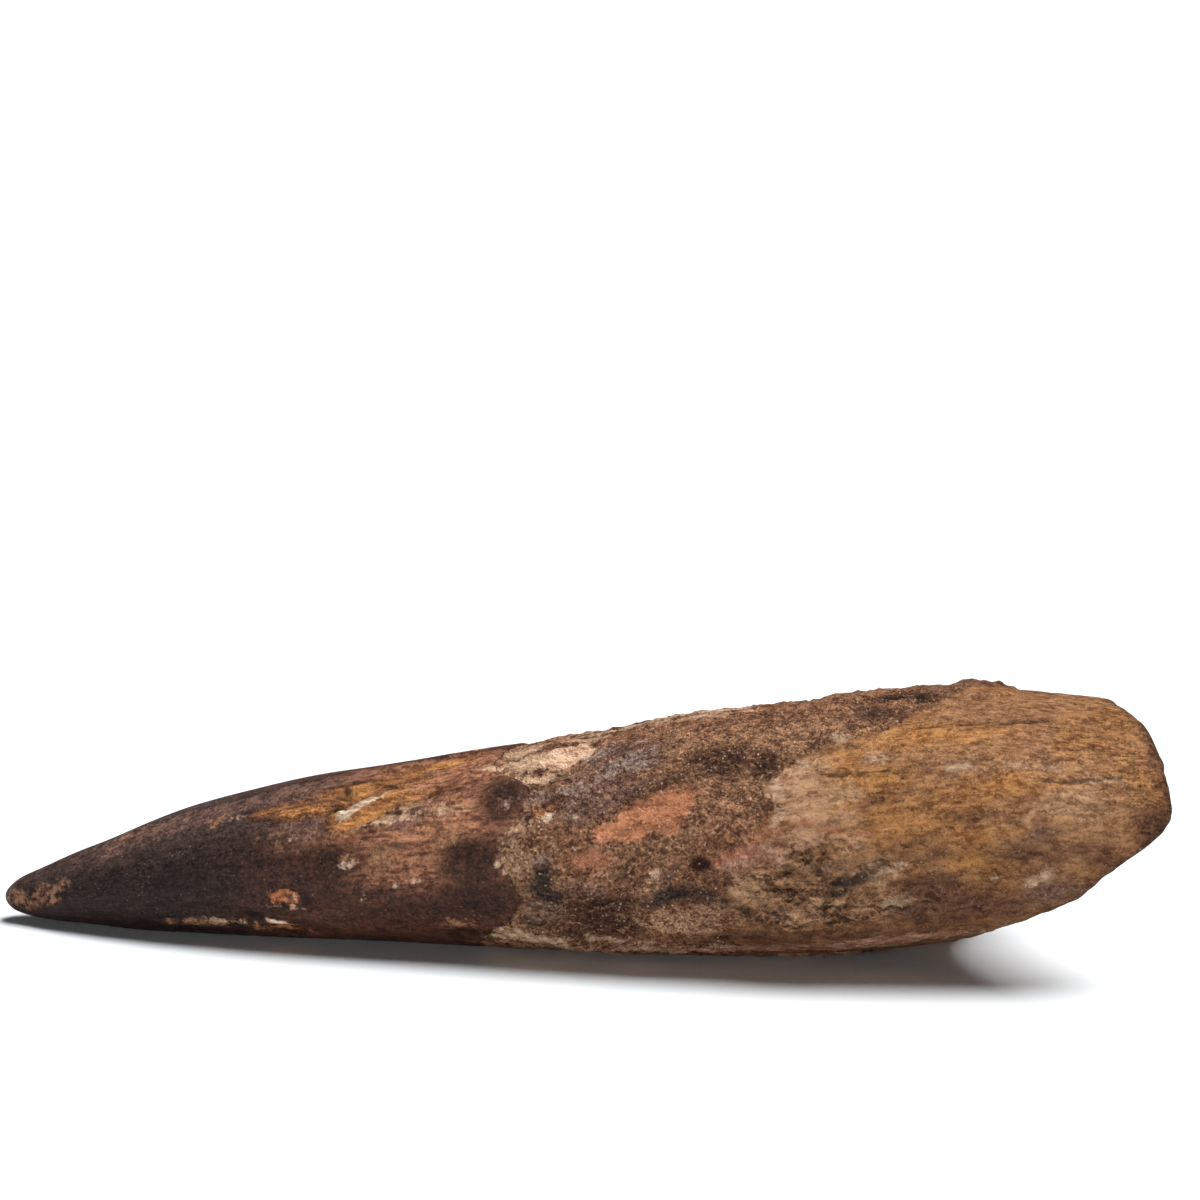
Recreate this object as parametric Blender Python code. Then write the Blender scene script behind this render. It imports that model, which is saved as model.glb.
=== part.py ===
"""A fossil Spinosaurus tooth lying on its side, made as one solid: the worn enamel crown with a
flaked hollow, the crust of sandy rock round its middle, and the ribbed root with its slanting
broken end.

Metres, +Z up. The tooth lies along X with its tip at -X, and the surface that it rests on is Z = 0.
The origin is the middle of the tooth's box on that surface. Angles go round the tooth in degrees:
0 is the near side (-Y), 90 the top, 180 the far side and 270 the underside.
"""

import math

import bmesh
import bpy
import numpy as np
from mathutils import Vector, noise

MM = 0.001

# Driving dimensions
LENGTH = 120.0 * MM
DEPTH_TO_HEIGHT = 1.06
RIM_ROUNDING = 1.3 * MM
BREAK_HOLLOW = 1.5 * MM

# The tooth's sections in millimetres: distance from the tip, height of the underside, height of
# the top, and how far the middle lies to the side. An underside below zero is worn flat at zero.
SECTIONS = (
    (0.0, 2.6, 2.6, 1.6),
    (1.5, 1.0, 4.45, 1.5),
    (4.5, 0.4, 5.95, 1.4),
    (10.0, 0.1, 8.6, 1.2),
    (15.0, -0.2, 10.8, 1.1),
    (20.0, -0.2, 12.8, 0.9),
    (30.0, -0.2, 15.8, 0.6),
    (41.0, -0.1, 18.1, 0.3),
    (51.0, -0.2, 20.1, 0.1),
    (61.0, -0.2, 21.8, 0.0),
    (71.0, -0.2, 23.8, 0.0),
    (80.0, -0.1, 25.2, 0.0),
    (87.0, 0.2, 26.5, 0.0),
    (92.0, 0.8, 27.1, 0.0),
    (98.0, 1.6, 27.6, 0.1),
    (104.0, 2.5, 28.0, 0.2),
    (112.0, 3.0, 27.3, 0.4),
    (120.0, 3.4, 26.6, 0.5),
)

# Three lines round the tooth: angle in degrees against millimetres from the tip. The enamel ends at
# the first, the crust of rock at the second, and the root is broken off at the third.
ENAMEL_EDGE = (
    (4, 54.9),
    (13, 54.5),
    (28, 56.7),
    (39, 57.1),
    (51, 56.0),
    (64, 53.4),
    (80, 53.7),
    (105, 55.0),
    (130, 52.0),
    (165, 55.5),
    (200, 52.0),
    (235, 54.5),
    (270, 52.0),
    (310, 52.3),
    (327, 54.4),
    (344, 56.2),
)
CRUST_EDGE = (
    (0, 78.5),
    (13, 79.6),
    (26, 81.8),
    (41, 80.8),
    (49, 84.5),
    (58, 91.0),
    (69, 95.5),
    (82, 98.5),
    (95, 103.0),
    (110, 102.0),
    (135, 93.0),
    (170, 86.0),
    (200, 90.0),
    (235, 83.0),
    (270, 78.0),
    (310, 77.0),
    (335, 76.5),
)
RIM = (
    (0, 117.8),
    (15, 120.1),
    (30, 119.8),
    (50, 119.0),
    (75, 117.2),
    (90, 115.3),
    (105, 114.0),
    (140, 110.5),
    (180, 108.5),
    (225, 105.0),
    (255, 102.0),
    (285, 100.8),
    (300, 102.8),
    (315, 107.0),
    (330, 111.4),
    (345, 114.2),
)

# Oval hollows and swellings: what they are, then millimetres from the tip, angle, half length, half
# width, tilt in degrees, and height
PATCHES = (
    ("worn tip", 4.6, 11, 3.8, 1.2, 10, -0.25),
    ("flake by the tip", 33.0, 54, 6.0, 1.7, 0, -0.35),
    ("flake in the middle", 38.6, 48, 3.6, 2.4, 15, -0.3),
    ("flake by the root", 44.0, 60, 7.0, 3.0, 24, -0.35),
    ("flake on the top", 47.5, 84, 4.0, 1.2, 12, -0.3),
    ("hole in the flake", 37.2, 49, 1.3, 0.6, 15, -0.7),
    ("splinter by the hole", 38.9, 48, 2.8, 0.8, 22, 0.5),
    ("small chip", 31.9, -13, 1.6, 1.1, 0, -0.4),
    ("chip near the ground", 32.3, -48, 2.6, 1.1, -15, -0.4),
    ("pit near the ground", 28.2, -31, 1.2, 0.9, 0, -0.4),
    ("pit by the enamel edge", 50.3, -44, 1.2, 0.9, 0, -0.4),
    ("pink hollow", 60.1, 62, 3.4, 1.8, 20, -0.45),
    ("orange hollow", 68.8, 27, 5.2, 2.0, 28, -0.4),
    ("red hollow", 63.5, 6, 2.2, 1.4, 20, -0.35),
    ("notch", 59.0, 34, 1.3, 1.3, 0, -0.5),
    ("flake of crust near the ground", 60.5, -43, 4.2, 1.4, -25, 0.4),
    ("crest of crust on the top", 101.6, 92, 3.2, 3.0, 0, 0.35),
    ("pit in the top crust", 90.4, 82, 1.3, 1.1, 0, -0.6),
    ("pit beside it", 95.8, 77, 1.3, 1.1, 0, -0.6),
    ("pale lump", 87.7, 54, 1.4, 1.1, 0, 0.5),
    ("long flake on the far side", 37.0, 188, 8.0, 2.4, 6, -0.45),
    ("chip on the far side", 20.0, 212, 2.6, 1.4, -12, -0.4),
    ("hollow in the far crust", 67.0, 172, 5.5, 2.6, -18, -0.5),
    ("second hollow in the far crust", 73.0, 214, 3.2, 1.8, 12, -0.4),
    ("lump on the far crust", 80.0, 148, 4.0, 3.0, 20, 0.6),
    ("chip by the far rim", 104.0, 196, 3.4, 2.0, 25, -0.5),
    ("flake on the top of the crown", 24.0, 128, 4.5, 1.6, 8, -0.35),
)

# Cracks along the root: millimetres from the tip and angle of each end, in one piece
CRACKS = (
    (95.0, 58.0, 108.0, 61.0),
    (85.5, 40.0, 94.5, 35.0),
    (107.5, 29.0, 115.0, 34.0),
    (90.0, 166.0, 106.0, 172.0),
    (86.0, 232.0, 101.0, 226.0),
    (99.0, 124.0, 110.0, 121.0),
    (84.0, 338.0, 97.0, 334.0),
)

# The finish of the surface
RAGGEDNESS = 0.7 * MM
RAGGED_SIZE = 3.0 * MM
PATCH_EDGE = 0.9 * MM
ENAMEL_STEP = 0.3 * MM
CRUST_STEP = 0.35 * MM
STEP_WIDTH = 1.0 * MM
TROUGH_WIDTH = 3.5 * MM
CRUST_LUMPS = 0.32 * MM
LUMP_SIZE = 3.6 * MM
ROOT_RIBS = 0.28 * MM
RIB_SIZE = 3.2 * MM
RIB_STRETCH = 7.0
CROWN_FLUTES = 0.12 * MM
FLUTE_SIZE = 2.4 * MM
FLUTE_STRETCH = 9.0
UNEVENNESS = 0.25 * MM
UNEVEN_SIZE = 14.0 * MM
RIM_CHIPPING = 0.3 * MM
CHIP_SIZE = 5.0 * MM
BREAK_ROUGHNESS = 0.9 * MM
BREAK_GRAIN = 6.0 * MM
CRACK_DEPTH = 0.4 * MM
CRACK_HALF_WIDTH = 1.0 * MM
WORN_HEIGHT = 1.4 * MM

# How finely the solid is meshed
COLUMNS = 60
SIDE_ROWS = 68
RIM_ROWS = 3
BREAK_ROWS = 8
ROWS = SIDE_ROWS + RIM_ROWS + BREAK_ROWS
TIP_CROWDING = 0.05

FOSSIL_COLOUR = (0.19, 0.105, 0.06, 1.0)
FOSSIL_ROUGHNESS = 0.62


def ramp(value, width):
    """Rises smoothly from 0 to 1 as the value goes from minus half the width to plus half."""
    t = (value / width + 0.5).clip(0, 1)
    return t * t * (3 - 2 * t)


def smooth_curve(at, knots, values):
    """A curve through the knots whose slope at each knot is that between its neighbours."""
    slopes = np.gradient(values, knots)
    at = np.clip(at, knots[0], knots[-1])
    left = np.clip(np.searchsorted(knots, at, side="right") - 1, 0, len(knots) - 2)
    width = knots[left + 1] - knots[left]
    t = (at - knots[left]) / width
    rising = t * t * (3 - 2 * t)
    bend = slopes[left] * t * (1 - t) ** 2 - slopes[left + 1] * t**2 * (1 - t)
    return values[left] * (1 - rising) + values[left + 1] * rising + bend * width


def line_round(angle, table):
    """The distance from the tip, at an angle in degrees, of a line that closes round the tooth."""
    turn, reach = np.array(table, float).T
    turns = np.concatenate([turn[-2:] - 360, turn, turn[:2] + 360])
    reach = np.concatenate([reach[-2:], reach, reach[:2]])
    return smooth_curve(angle % 360, turns, reach) * MM


def section(along):
    """Half height, half depth, height of the middle and side offset of the middle, at a distance."""
    distance, low, high, aside = np.array(SECTIONS).T * MM
    # Square roots, because a rounded tip widens as the square root of the distance
    knots = np.sqrt(distance / LENGTH)
    at = np.sqrt(along / LENGTH)
    low, high, aside = (smooth_curve(at, knots, line) for line in (low, high, aside))
    half_height = (high - low) / 2
    return half_height, half_height * DEPTH_TO_HEIGHT, (high + low) / 2, aside


def outward(along, angle):
    """The direction out of the tooth's side, across its section."""
    half_height, half_depth, _, _ = section(along)
    turn = np.radians(angle)
    way = np.stack([0 * turn, -np.cos(turn) * half_height, np.sin(turn) * half_depth], axis=1)
    return way / np.linalg.norm(way, axis=1, keepdims=True).clip(1e-9)


def side_point(along, angle):
    """A point of the tooth's side, before any relief."""
    half_height, half_depth, middle, aside = section(along)
    turn = np.radians(angle)
    across = aside - half_depth * np.cos(turn)
    return np.stack([along - LENGTH / 2, across, middle + half_height * np.sin(turn)], axis=1)


def wander(points, size, octaves, seed):
    """Smooth random numbers of about -1 to 1 that change over the given size."""
    offset = Vector((seed * 17.3, seed * 5.1, seed * 11.7))
    return np.array([noise.fractal(Vector(p) / size + offset, 1.0, 2.0, octaves) for p in points])


def straightened(along, angle):
    """The tooth unrolled onto an even rod, where what runs along the tooth runs along X."""
    turn = np.radians(angle)
    radius = 10.0 * MM
    return np.stack([along, radius * np.cos(turn), radius * np.sin(turn)], axis=1)


def in_patch(along, angle, place):
    """How far inside an oval patch a point is, in metres. It is below zero outside."""
    distance, turn, half_length, half_width, tilt = place
    half_height, half_depth, _, _ = section(along)
    across = np.radians((angle - turn + 180) % 360 - 180) * (half_height + half_depth) / 2
    forward = along - distance * MM
    lean = math.radians(tilt)
    length_share = (forward * math.cos(lean) + across * math.sin(lean)) / (half_length * MM)
    width_share = (across * math.cos(lean) - forward * math.sin(lean)) / (half_width * MM)
    return (1 - np.hypot(length_share, width_share)) * half_width * MM


def off_crack(along, angle, ends):
    """How far a point of the side is from a straight crack, in metres."""
    half_height, half_depth, _, _ = section(along)
    start, first_turn, end, last_turn = ends
    share = ((along / MM - start) / (end - start)).clip(0, 1)
    turn = first_turn + (last_turn - first_turn) * share
    across = np.radians((angle - turn + 180) % 360 - 180) * (half_height + half_depth) / 2
    forward = along - (start + (end - start) * share) * MM
    return np.hypot(across, forward)


def side_relief(along, angle, points):
    """How far the worn, flaked and crusted side stands off its even form."""
    rod = straightened(along, angle)
    ragged = wander(points, RAGGED_SIZE, 3, 1) * RAGGEDNESS
    past_enamel = along - line_round(angle, ENAMEL_EDGE) + ragged
    past_crust = along - line_round(angle, CRUST_EDGE) + 2 * ragged
    enamel = 1 - ramp(past_enamel, STEP_WIDTH)
    root = ramp(past_crust, STEP_WIDTH)
    crust = (1 - root) * ramp(past_enamel - TROUGH_WIDTH / 2, TROUGH_WIDTH)
    height = ENAMEL_STEP * enamel + CRUST_STEP * crust
    height = height + CRUST_LUMPS * crust * wander(points, LUMP_SIZE, 3, 2)
    height = height + ROOT_RIBS * root * wander(rod / (RIB_STRETCH, 1, 1), RIB_SIZE, 2, 3)
    height = height + CROWN_FLUTES * enamel * wander(rod / (FLUTE_STRETCH, 1, 1), FLUTE_SIZE, 2, 6)
    height = height + UNEVENNESS * wander(points, UNEVEN_SIZE, 2, 4)
    for _, *place, rise in PATCHES:
        inside = in_patch(along, angle, place) + ragged / 2
        height = height + rise * MM * ramp(inside, PATCH_EDGE)
    for ends in CRACKS:
        gap = off_crack(along, angle, ends)
        height = height - CRACK_DEPTH * (1 - gap / CRACK_HALF_WIDTH).clip(0)
    return height - ENAMEL_STEP


def surface(row, angle):
    """Points of the tooth's skin: rows run from the tip along the side, over the rim and across
    the break to its middle."""
    share = (row / SIDE_ROWS).clip(0, 1)
    eased = np.sqrt(share**2 + TIP_CROWDING**2) - TIP_CROWDING
    eased /= math.sqrt(1 + TIP_CROWDING**2) - TIP_CROWDING
    over_rim = ((row - SIDE_ROWS) / RIM_ROWS).clip(0, 1) * math.pi / 2
    inward = ((row - SIDE_ROWS - RIM_ROWS) / BREAK_ROWS).clip(0, 1)
    rim = line_round(angle, RIM)
    rim = rim + RIM_CHIPPING * wander(side_point(rim, angle), CHIP_SIZE, 2, 7)
    along = (rim - RIM_ROUNDING) * eased + RIM_ROUNDING * np.sin(over_rim)
    points = side_point(along, angle)
    relief = side_relief(along, angle, points)
    # The relief dies out at the tip's point and where the tooth rests
    relief = relief * ramp(along - 1 * MM, 2 * MM) * ramp(points[:, 2] - WORN_HEIGHT / 2, WORN_HEIGHT)
    relief = relief - RIM_ROUNDING * (1 - np.cos(over_rim))
    points = points + outward(along, angle) * relief[:, None]
    return across_break(points, inward, side_point(rim, angle))


def across_break(points, inward, rim_points):
    """Draws rim points in over the break, onto a rough and slightly hollow slanting plane."""
    middle = rim_points.mean(axis=0)
    slant = np.linalg.lstsq((rim_points - middle)[:, 1:], (rim_points - middle)[:, 0], rcond=None)[0]
    off_plane = (points - middle)[:, 0] - (points - middle)[:, 1:] @ slant
    points = points + (middle - points) * inward[:, None]
    points[:, 0] = middle[0] + (points - middle)[:, 1:] @ slant + off_plane * (1 - inward) ** 3
    rough = BREAK_ROUGHNESS * wander(points, BREAK_GRAIN, 3, 5)
    points[:, 0] += inward * (2 - inward) * (rough - BREAK_HOLLOW)
    points[:, 2] = points[:, 2].clip(0)
    return points


def fossil_material():
    """Brown fossil enamel and root."""
    material = bpy.data.materials.new("fossil")
    material.use_nodes = True
    shader = material.node_tree.nodes["Principled BSDF"]
    shader.inputs["Base Color"].default_value = FOSSIL_COLOUR
    shader.inputs["Roughness"].default_value = FOSSIL_ROUGHNESS
    shader.inputs["Metallic"].default_value = 0.0
    return material


def build_tooth():
    """A sphere with its poles at the tip and in the broken end, each of its rings moved into place."""
    mesh = bpy.data.meshes.new("tooth")
    shape = bmesh.new()
    bmesh.ops.create_uvsphere(shape, u_segments=COLUMNS, v_segments=ROWS, radius=1.0)
    shape.to_mesh(mesh)
    shape.free()
    ball = np.empty(len(mesh.vertices) * 3)
    mesh.vertices.foreach_get("co", ball)
    x, y, z = ball.reshape(-1, 3).T
    row = (np.arccos(z.clip(-1, 1)) / math.pi * ROWS).round()
    angle = np.degrees(np.arctan2(y, x)) % 360
    points = surface(row, angle)
    points[:, :2] -= (points.min(axis=0) + points.max(axis=0))[:2] / 2
    mesh.vertices.foreach_set("co", points.ravel())
    mesh.shade_smooth()
    mesh.materials.append(fossil_material())
    tooth = bpy.data.objects.new("tooth", mesh)
    collection = bpy.data.collections.new("spinosaurus_tooth")
    bpy.context.scene.collection.children.link(collection)
    collection.objects.link(tooth)
    return tooth


for old in list(bpy.data.objects):
    bpy.data.objects.remove(old)
tooth = build_tooth()
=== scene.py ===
"""The looks of the fossil Spinosaurus tooth: one fine mesh of its worn crown, sandy crust and ribbed
root, with a procedural material, on a pale floor under soft studio light.

Metres, +Z up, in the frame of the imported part. The tooth lies along X with its tip at -X. Angles go
round it in degrees: 0 is the near side (-Y), 90 the top, 180 the far side and 270 the underside.
"""

import math

import bmesh
import bpy
import numpy as np
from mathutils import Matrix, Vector, noise


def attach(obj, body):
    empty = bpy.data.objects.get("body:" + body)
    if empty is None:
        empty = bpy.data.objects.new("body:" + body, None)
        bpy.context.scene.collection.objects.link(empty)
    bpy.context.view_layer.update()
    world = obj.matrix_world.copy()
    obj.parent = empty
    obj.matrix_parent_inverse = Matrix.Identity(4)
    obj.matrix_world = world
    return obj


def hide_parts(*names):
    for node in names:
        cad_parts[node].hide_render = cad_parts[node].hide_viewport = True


MM = 0.001

# The form, with the same driving dimensions as the solid
LENGTH = 120.0 * MM
DEPTH_TO_HEIGHT = 1.06
RIM_ROUNDING = 1.3 * MM
BREAK_HOLLOW = 1.5 * MM

# The tooth's sections in millimetres: distance from the tip, height of the underside, height of
# the top, and how far the middle lies to the side. An underside below zero is worn flat at zero.
SECTIONS = (
    (0.0, 2.6, 2.6, 1.6),
    (1.5, 1.0, 4.45, 1.5),
    (4.5, 0.4, 5.95, 1.4),
    (10.0, 0.1, 8.6, 1.2),
    (15.0, -0.2, 10.8, 1.1),
    (20.0, -0.2, 12.8, 0.9),
    (30.0, -0.2, 15.8, 0.6),
    (41.0, -0.1, 18.1, 0.3),
    (51.0, -0.2, 20.1, 0.1),
    (61.0, -0.2, 21.8, 0.0),
    (71.0, -0.2, 23.8, 0.0),
    (80.0, -0.1, 25.2, 0.0),
    (87.0, 0.2, 26.5, 0.0),
    (92.0, 0.8, 27.1, 0.0),
    (98.0, 1.6, 27.6, 0.1),
    (104.0, 2.5, 28.0, 0.2),
    (112.0, 3.0, 27.3, 0.4),
    (120.0, 3.4, 26.6, 0.5),
)

# Three lines round the tooth: angle in degrees against millimetres from the tip. The enamel ends at
# the first, the crust of rock at the second, and the root is broken off at the third.
ENAMEL_EDGE = (
    (4, 54.9),
    (13, 54.5),
    (28, 56.7),
    (39, 57.1),
    (51, 56.0),
    (64, 53.4),
    (80, 53.7),
    (105, 55.0),
    (130, 52.0),
    (165, 55.5),
    (200, 52.0),
    (235, 54.5),
    (270, 52.0),
    (310, 52.3),
    (327, 54.4),
    (344, 56.2),
)
CRUST_EDGE = (
    (0, 78.5),
    (13, 79.6),
    (26, 81.8),
    (41, 80.8),
    (49, 84.5),
    (58, 91.0),
    (69, 95.5),
    (82, 98.5),
    (95, 103.0),
    (110, 102.0),
    (135, 93.0),
    (170, 86.0),
    (200, 90.0),
    (235, 83.0),
    (270, 78.0),
    (310, 77.0),
    (335, 76.5),
)
RIM = (
    (0, 117.8),
    (15, 120.1),
    (30, 119.8),
    (50, 119.0),
    (75, 117.2),
    (90, 115.3),
    (105, 114.0),
    (140, 110.5),
    (180, 108.5),
    (225, 105.0),
    (255, 102.0),
    (285, 100.8),
    (300, 102.8),
    (315, 107.0),
    (330, 111.4),
    (345, 114.2),
)

# Oval hollows and swellings, as in the solid: what they are, then millimetres from the tip, angle,
# half length, half width, tilt in degrees, and height
PATCHES = (
    ("worn tip", 4.6, 11, 3.8, 1.2, 10, -0.25),
    ("flake by the tip", 33.0, 54, 6.0, 1.7, 0, -0.35),
    ("flake in the middle", 38.6, 48, 3.6, 2.4, 15, -0.3),
    ("flake by the root", 44.0, 60, 7.0, 3.0, 24, -0.35),
    ("flake on the top", 47.5, 84, 4.0, 1.2, 12, -0.3),
    ("hole in the flake", 37.2, 49, 1.3, 0.6, 15, -0.7),
    ("splinter by the hole", 38.9, 48, 2.8, 0.8, 22, 0.5),
    ("small chip", 31.9, -13, 1.6, 1.1, 0, -0.4),
    ("chip near the ground", 32.3, -48, 2.6, 1.1, -15, -0.4),
    ("pit near the ground", 28.2, -31, 1.2, 0.9, 0, -0.4),
    ("pit by the enamel edge", 50.3, -44, 1.2, 0.9, 0, -0.4),
    ("pink hollow", 60.1, 62, 3.4, 1.8, 20, -0.45),
    ("orange hollow", 68.8, 27, 5.2, 2.0, 28, -0.4),
    ("red hollow", 63.5, 6, 2.2, 1.4, 20, -0.35),
    ("notch", 59.0, 34, 1.3, 1.3, 0, -0.5),
    ("flake of crust near the ground", 60.5, -43, 4.2, 1.4, -25, 0.4),
    ("crest of crust on the top", 101.6, 92, 3.2, 3.0, 0, 0.35),
    ("pit in the top crust", 90.4, 82, 1.3, 1.1, 0, -0.6),
    ("pit beside it", 95.8, 77, 1.3, 1.1, 0, -0.6),
    ("pale lump", 87.7, 54, 1.4, 1.1, 0, 0.5),
    ("long flake on the far side", 37.0, 188, 8.0, 2.4, 6, -0.45),
    ("chip on the far side", 20.0, 212, 2.6, 1.4, -12, -0.4),
    ("hollow in the far crust", 67.0, 172, 5.5, 2.6, -18, -0.5),
    ("second hollow in the far crust", 73.0, 214, 3.2, 1.8, 12, -0.4),
    ("lump on the far crust", 80.0, 148, 4.0, 3.0, 20, 0.6),
    ("chip by the far rim", 104.0, 196, 3.4, 2.0, 25, -0.5),
    ("flake on the top of the crown", 24.0, 128, 4.5, 1.6, 8, -0.35),
)

# Cracks along the root: millimetres from the tip and angle of each end, in one piece
CRACKS = (
    (95.0, 58.0, 108.0, 61.0),
    (85.5, 40.0, 94.5, 35.0),
    (107.5, 29.0, 115.0, 34.0),
    (90.0, 166.0, 106.0, 172.0),
    (86.0, 232.0, 101.0, 226.0),
    (99.0, 124.0, 110.0, 121.0),
    (84.0, 338.0, 97.0, 334.0),
)

# The finish of the surface, as in the solid
RAGGEDNESS = 0.7 * MM
RAGGED_SIZE = 3.0 * MM
ENAMEL_STEP = 0.3 * MM
CRUST_STEP = 0.35 * MM
TROUGH_WIDTH = 3.5 * MM
CRUST_LUMPS = 0.32 * MM
LUMP_SIZE = 3.6 * MM
ROOT_RIBS = 0.28 * MM
RIB_SIZE = 3.2 * MM
RIB_STRETCH = 7.0
CROWN_FLUTES = 0.12 * MM
FLUTE_SIZE = 2.4 * MM
FLUTE_STRETCH = 9.0
UNEVENNESS = 0.25 * MM
UNEVEN_SIZE = 14.0 * MM
RIM_CHIPPING = 0.3 * MM
CHIP_SIZE = 5.0 * MM
BREAK_ROUGHNESS = 0.9 * MM
BREAK_GRAIN = 6.0 * MM
WORN_HEIGHT = 1.4 * MM
TIP_FADE = 2.0 * MM
ROD_RADIUS = 10.0 * MM

# The finer relief that only this mesh has
STEP_WIDTH = 0.55 * MM
PATCH_EDGE = 0.55 * MM
FINE_RAGGEDNESS = 0.3 * MM
FINE_RAGGED_SIZE = 1.1 * MM
CRACK_DEPTH = 0.22 * MM
CRACK_HALF_WIDTH = 0.4 * MM
CRACK_WAVER = 2.5
CRACK_WAVER_SIZE = 2.5 * MM
CRUST_GRAINS = 0.24 * MM
GRAIN_SIZE = 0.75 * MM
RUBBLE_LUMPS = 0.75 * MM
RUBBLE_SIZE = 1.5 * MM
RUBBLE_FADE = 2.0 * MM
ROOT_FIBRES = 0.15 * MM
FIBRE_SIZE = 1.0 * MM
FIBRE_STRETCH = 4.0
FINE_CHIPPING = 0.12 * MM
FINE_CHIP_SIZE = 1.4 * MM
BREAK_PITS = 0.6 * MM
BREAK_PIT_SIZE = 1.6 * MM

# How finely the tooth is meshed
COLUMNS = 280
SIDE_ROWS = 306
RIM_ROWS = 8
BREAK_ROWS = 34
ROWS = SIDE_ROWS + RIM_ROWS + BREAK_ROWS
TIP_CROWDING = 0.05

# Where the side and the break lie in the bake map, which is one wide and one high
STRIP_CORNER = 0.01
STRIP_LENGTH = 0.97
STRIP_RIM = 0.012
STRIP_WIDTH = 0.72
STRIP_DEGREES = 362
DISC_MIDDLE = (0.13, 0.87)
DISC_RADIUS = 0.115

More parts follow.
